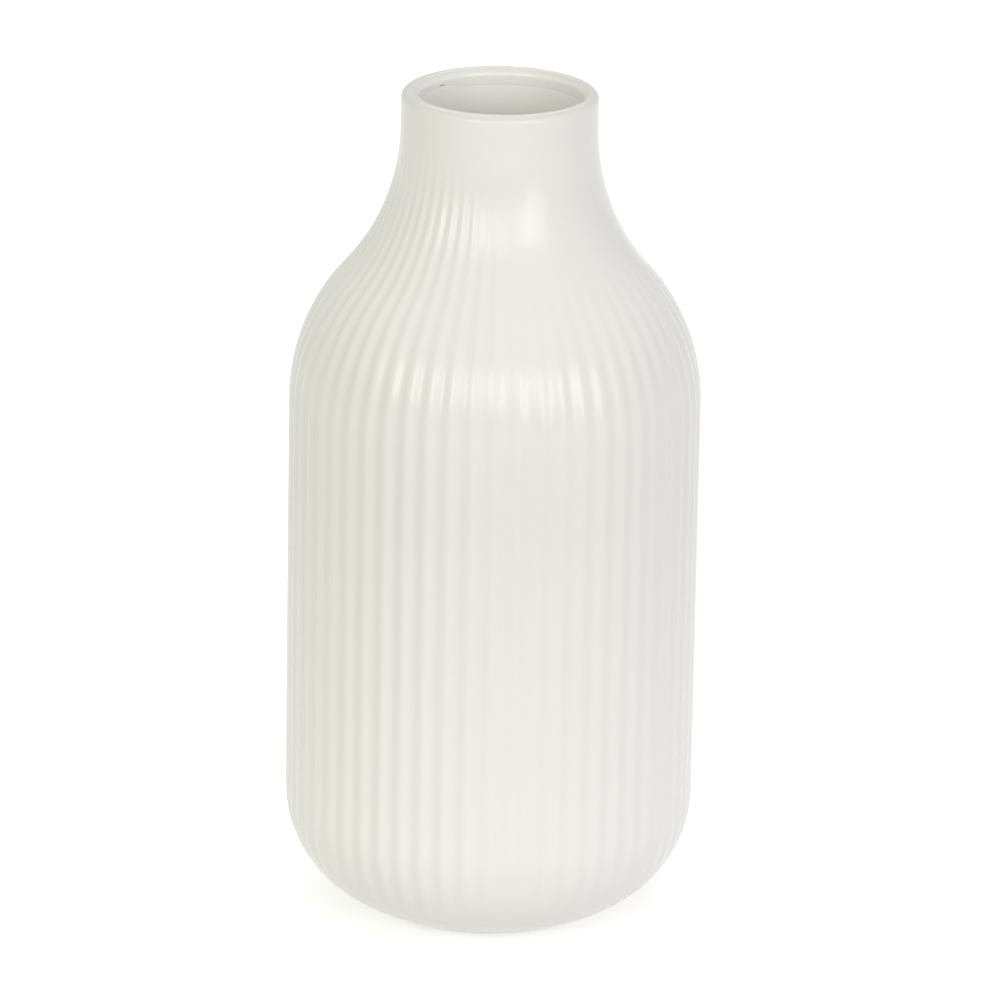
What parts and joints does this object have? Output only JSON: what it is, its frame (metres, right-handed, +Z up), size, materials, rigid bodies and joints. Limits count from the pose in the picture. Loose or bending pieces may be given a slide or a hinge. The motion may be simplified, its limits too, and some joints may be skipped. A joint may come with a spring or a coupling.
{
  "type": "ceramic bud vase",
  "caption": "Bottle-shaped stoneware bud vase with soft upright ribs, a smooth narrow neck, a rounded lip and a bare foot ring.",
  "frame": {"origin": "middle of the foot ring, on the surface that the vase stands on", "axes": "+Z up along the axis of the vase, from the foot to the lip; +X and +Y are alike, because the vase is turned about Z"},
  "size_m": [0.0971, 0.0972, 0.2],
  "materials": {
    "bisque_stoneware": "bare fired clay, dry and matt, with a fine sandy grain and a few pinholes",
    "satin_glaze": "warm white satin glaze, soft broad highlights, slightly thinner on the rib crests",
    "gloss_liner": "white gloss glaze, smooth and wet-looking"
  },
  "bodies": {
    "root": {"stoneware_body": "bisque_stoneware", "outer_glaze": "satin_glaze", "liner_glaze": "gloss_liner"}
  },
  "joints": []
}
